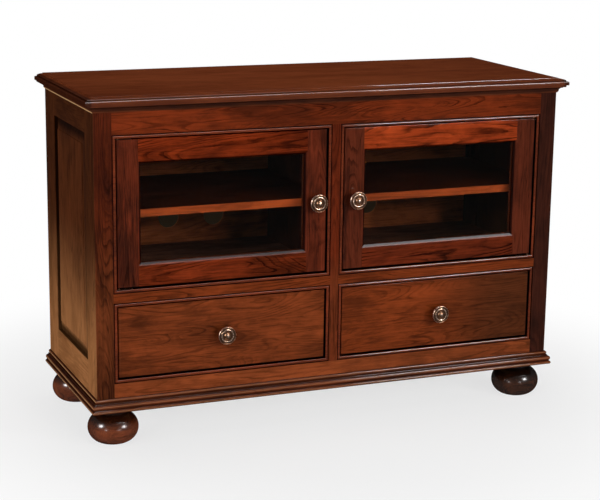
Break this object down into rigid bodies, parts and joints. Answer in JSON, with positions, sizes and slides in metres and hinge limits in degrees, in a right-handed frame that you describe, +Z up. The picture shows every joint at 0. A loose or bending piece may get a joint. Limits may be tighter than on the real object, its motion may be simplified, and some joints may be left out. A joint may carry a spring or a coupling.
{
  "type": "media console",
  "caption": "Traditional media console in stained wood: glazed doors over drawers, moulded top and base, turned bun feet, all in frame-and-panel joinery.",
  "frame": {"origin": "on the floor, under the middle of the console's overall width and depth", "axes": "+X across the front, to the right as seen from the front; +Y to the back; +Z up"},
  "size_m": [1.246, 0.487, 0.835],
  "materials": {
    "stained_wood": "semi-gloss lacquer over a red-brown stain",
    "inner_wood": "clear satin lacquer",
    "plywood": "stained satin veneer",
    "bronze": "antiqued and burnished",
    "steel": "zinc plated",
    "glass": "clear, polished"
  },
  "bodies": {
    "case": {"top_panel": "stained_wood", "cove_moulding": "stained_wood", "frame_stile_left": "stained_wood", "frame_stile_right": "stained_wood", "frame_stile_center": "stained_wood", "frame_rail_top": "stained_wood", "frame_rails_middle": "stained_wood", "frame_rail_bottom": "stained_wood", "opening_beads": "stained_wood", "side_stiles": "stained_wood", "side_rails": "stained_wood", "side_panels": "stained_wood", "back_panel": "plywood", "center_partition": "plywood", "bottom_panel": "plywood", "deck_panels": "plywood", "top_cleats": "inner_wood", "shelf_left": "stained_wood", "shelf_right": "stained_wood", "shelf_pins": "steel", "base_moulding": "stained_wood", "corner_blocks": "inner_wood", "bun_feet": "stained_wood", "foot_studs": "steel", "hinge_frame_leaves": "bronze", "door_catches": "steel", "slide_outer_members": "steel", "slide_spacers": "inner_wood"},
    "door_left": {"door_left_stiles": "stained_wood", "door_left_rails": "stained_wood", "door_left_glass": "glass", "door_left_glass_stops": "stained_wood", "door_left_hinge_leaves": "bronze", "door_left_strike": "steel", "door_left_knob": "bronze", "door_left_knob_screw": "steel"},
    "door_right": {"door_right_stiles": "stained_wood", "door_right_rails": "stained_wood", "door_right_glass": "glass", "door_right_glass_stops": "stained_wood", "door_right_hinge_leaves": "bronze", "door_right_strike": "steel", "door_right_knob": "bronze", "door_right_knob_screw": "steel"},
    "drawer_left": {"drawer_left_front": "stained_wood", "drawer_left_sides": "inner_wood", "drawer_left_ends": "inner_wood", "drawer_left_bottom": "inner_wood", "drawer_left_slides_inner": "steel", "drawer_left_knob": "bronze", "drawer_left_knob_screw": "steel"},
    "drawer_left_slide": {"drawer_left_slides_middle": "steel"},
    "drawer_right": {"drawer_right_front": "stained_wood", "drawer_right_sides": "inner_wood", "drawer_right_ends": "inner_wood", "drawer_right_bottom": "inner_wood", "drawer_right_slides_inner": "steel", "drawer_right_knob": "bronze", "drawer_right_knob_screw": "steel"},
    "drawer_right_slide": {"drawer_right_slides_middle": "steel"}
  },
  "joints": [
    {"name": "door_left_hinge", "type": "hinge", "parent": "case", "child": "door_left", "pos_m": [-0.5415, -0.2085, 0.5595], "axis": [0, 0, -1], "range_deg": [0, 110]},
    {"name": "door_right_hinge", "type": "hinge", "parent": "case", "child": "door_right", "pos_m": [0.5415, -0.2085, 0.5595], "axis": [0, 0, 1], "range_deg": [0, 110]},
    {"name": "drawer_left_travel", "type": "slide", "parent": "case", "child": "drawer_left", "axis": [0, -1, 0], "range_m": [0, 0.35]},
    {"name": "drawer_left_slide_travel", "type": "slide", "parent": "case", "child": "drawer_left_slide", "axis": [0, -1, 0], "range_m": [0, 0.175]},
    {"name": "drawer_right_travel", "type": "slide", "parent": "case", "child": "drawer_right", "axis": [0, -1, 0], "range_m": [0, 0.35]},
    {"name": "drawer_right_slide_travel", "type": "slide", "parent": "case", "child": "drawer_right_slide", "axis": [0, -1, 0], "range_m": [0, 0.175]}
  ],
  "couplings": [
    {"joint": "drawer_left_slide_travel", "follows": "drawer_left_travel", "ratio": 0.5},
    {"joint": "drawer_right_slide_travel", "follows": "drawer_right_travel", "ratio": 0.5}
  ]
}
